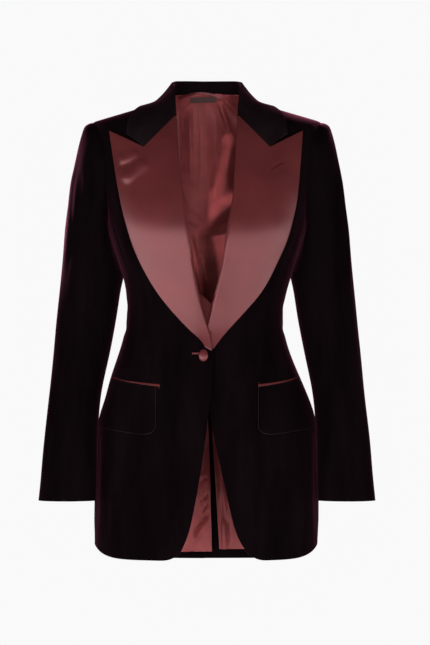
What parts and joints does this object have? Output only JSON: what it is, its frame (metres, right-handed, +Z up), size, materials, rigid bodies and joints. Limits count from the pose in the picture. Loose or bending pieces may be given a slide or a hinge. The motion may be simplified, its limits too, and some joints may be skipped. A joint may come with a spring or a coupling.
{
  "type": "velvet blazer",
  "caption": "Tailored velvet dinner blazer, filled out as worn, with wide satin peak lapels, velvet collar, flap pockets, lined back and centre vent.",
  "frame": {"origin": "on the middle plane between the two neck points, at the height of the shoulder line, where the wearer's shoulders carry the coat", "axes": "+Z up, -Y out of the front, +X to the wearer's left"},
  "size_m": [0.547, 0.2492, 0.7939],
  "materials": {
    "velvet": "short dark wine pile with a soft sheen at the edges",
    "satin": "burgundy satin, softly glossy",
    "lining": "thin burgundy satin lining, glossy on its folds",
    "label": "plain dark woven tape"
  },
  "bodies": {
    "root": {"front_right": "velvet", "front_left": "velvet", "side_right": "velvet", "side_left": "velvet", "back_right": "velvet", "back_left": "velvet", "top_sleeve_right": "velvet", "top_sleeve_left": "velvet", "under_sleeve_right": "velvet", "under_sleeve_left": "velvet", "collar": "velvet", "lapel_right": "satin", "lapel_left": "satin", "pocket_flap_right": "velvet", "pocket_flap_left": "velvet", "pocket_jet_right": "satin", "pocket_jet_left": "satin", "lining_back_right": "lining", "lining_back_left": "lining", "button": "satin", "buttonhole_binding": "satin", "hanger_loop": "satin", "label": "label"}
  },
  "joints": []
}
